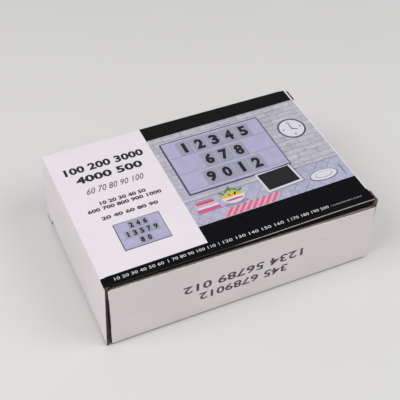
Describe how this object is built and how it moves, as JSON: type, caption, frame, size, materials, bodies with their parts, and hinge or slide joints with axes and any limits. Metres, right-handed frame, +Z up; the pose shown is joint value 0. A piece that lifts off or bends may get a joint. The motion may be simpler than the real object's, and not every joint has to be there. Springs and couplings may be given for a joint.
{
  "type": "boxed cinema light box",
  "caption": "Closed retail carton of printed corrugated board with hinged end closures and dust flaps, packed with a battery light box lamp, its number cards, insert and leaflet.",
  "frame": {"origin": "middle of the box's footprint on the surface it rests on, with the left closure standing 2 mm out at its foot", "axes": "+X along the long front towards the right end, +Y from the front to the back, +Z up through the printed top"},
  "size_m": [0.2242, 0.148, 0.066],
  "materials": {
    "printed_board": "coated white liner with a satin print, raw brown edges",
    "plain_board": "uncoated kraft, matt",
    "paper": "uncoated, matt",
    "foam": "soft closed-cell sheet, matt",
    "card_plastic": "thin printed film, glossy",
    "white_plastic": "moulded, fine texture",
    "opal_acrylic": "translucent opal, satin",
    "white_card": "smooth white card",
    "clear_acrylic": "clear, polished",
    "plated_steel": "nickel plated, bright",
    "circuit_board": "white solder mask",
    "led_phosphor": "yellow silicone",
    "black_plastic": "moulded",
    "red_vinyl": "extruded sleeve",
    "black_vinyl": "extruded sleeve",
    "soft_rubber": "matt"
  },
  "bodies": {
    "carton": {"carton_sleeve": "printed_board", "packing_insert": "plain_board", "foam_sheet": "foam", "instruction_leaflet": "paper", "front_card_band": "paper", "back_card_band": "paper", "front_number_cards_1": "card_plastic", "front_number_cards_2": "card_plastic", "front_number_cards_3": "card_plastic", "front_number_cards_4": "card_plastic", "back_number_cards_1": "card_plastic", "back_number_cards_2": "card_plastic", "back_number_cards_3": "card_plastic", "back_number_cards_4": "card_plastic", "rear_housing": "white_plastic", "front_bezel": "white_plastic", "diffuser_panel": "opal_acrylic", "reflector_sheet": "white_card", "card_rail_1": "clear_acrylic", "card_rail_2": "clear_acrylic", "card_rail_3": "clear_acrylic", "card_rail_4": "clear_acrylic", "left_end_contact": "plated_steel", "left_link_contact": "plated_steel", "right_link_contact": "plated_steel", "right_end_contact": "plated_steel", "left_light_strip": "circuit_board", "right_light_strip": "circuit_board", "left_led_1": "led_phosphor", "left_led_2": "led_phosphor", "left_led_3": "led_phosphor", "left_led_4": "led_phosphor", "right_led_1": "led_phosphor", "right_led_2": "led_phosphor", "right_led_3": "led_phosphor", "right_led_4": "led_phosphor", "control_board": "circuit_board", "driver_chip": "black_plastic", "power_socket": "plated_steel", "switch_body": "black_plastic", "red_wire": "red_vinyl", "black_wire": "black_vinyl", "housing_screw_1": "plated_steel", "housing_screw_2": "plated_steel", "housing_screw_3": "plated_steel", "housing_screw_4": "plated_steel", "rubber_foot_1": "soft_rubber", "rubber_foot_2": "soft_rubber", "rubber_foot_3": "soft_rubber", "rubber_foot_4": "soft_rubber"},
    "left_end": {"left_closure": "printed_board"},
    "right_end": {"right_closure": "printed_board"},
    "left_front_flap": {"left_front_dust_flap": "plain_board"},
    "left_back_flap": {"left_back_dust_flap": "plain_board"},
    "right_front_flap": {"right_front_dust_flap": "plain_board"},
    "right_back_flap": {"right_back_dust_flap": "plain_board"},
    "power_switch": {"switch_slider": "black_plastic"},
    "battery_door": {"battery_cover": "white_plastic"}
  },
  "joints": [
    {"name": "left_closure_fold", "type": "hinge", "parent": "carton", "child": "left_end", "pos_m": [-0.1091, 0, 0.0652], "axis": [0, 1, 0], "range_deg": [-1.9, 170]},
    {"name": "right_closure_fold", "type": "hinge", "parent": "carton", "child": "right_end", "pos_m": [0.1113, 0, 0.0008], "axis": [0, 1, 0], "range_deg": [0, 88]},
    {"name": "left_front_flap_fold", "type": "hinge", "parent": "carton", "child": "left_front_flap", "pos_m": [-0.1072, -0.0732, 0.033], "axis": [0, 0, 1], "range_deg": [-0.8, 76.5]},
    {"name": "left_back_flap_fold", "type": "hinge", "parent": "carton", "child": "left_back_flap", "pos_m": [-0.1072, 0.0732, 0.033], "axis": [0, 0, -1], "range_deg": [-0.8, 76.5]},
    {"name": "right_front_flap_fold", "type": "hinge", "parent": "carton", "child": "right_front_flap", "pos_m": [0.1094, -0.0732, 0.033], "axis": [0, 0, -1], "range_deg": [0, 39.6]},
    {"name": "right_back_flap_fold", "type": "hinge", "parent": "carton", "child": "right_back_flap", "pos_m": [0.1094, 0.0732, 0.033], "axis": [0, 0, 1], "range_deg": [0, 39.6]},
    {"name": "power_switch_slide", "type": "slide", "parent": "carton", "child": "power_switch", "axis": [0, 1, 0], "range_m": [0, 0.0024]},
    {"name": "battery_cover_slide", "type": "slide", "parent": "carton", "child": "battery_door", "axis": [1, 0, 0], "range_m": [0, 0.005]}
  ],
  "couplings": [
    {"joint": "left_front_flap_fold", "follows": "left_closure_fold", "ratio": 0.45},
    {"joint": "left_back_flap_fold", "follows": "left_closure_fold", "ratio": 0.45},
    {"joint": "right_front_flap_fold", "follows": "right_closure_fold", "ratio": 0.45},
    {"joint": "right_back_flap_fold", "follows": "right_closure_fold", "ratio": 0.45}
  ]
}
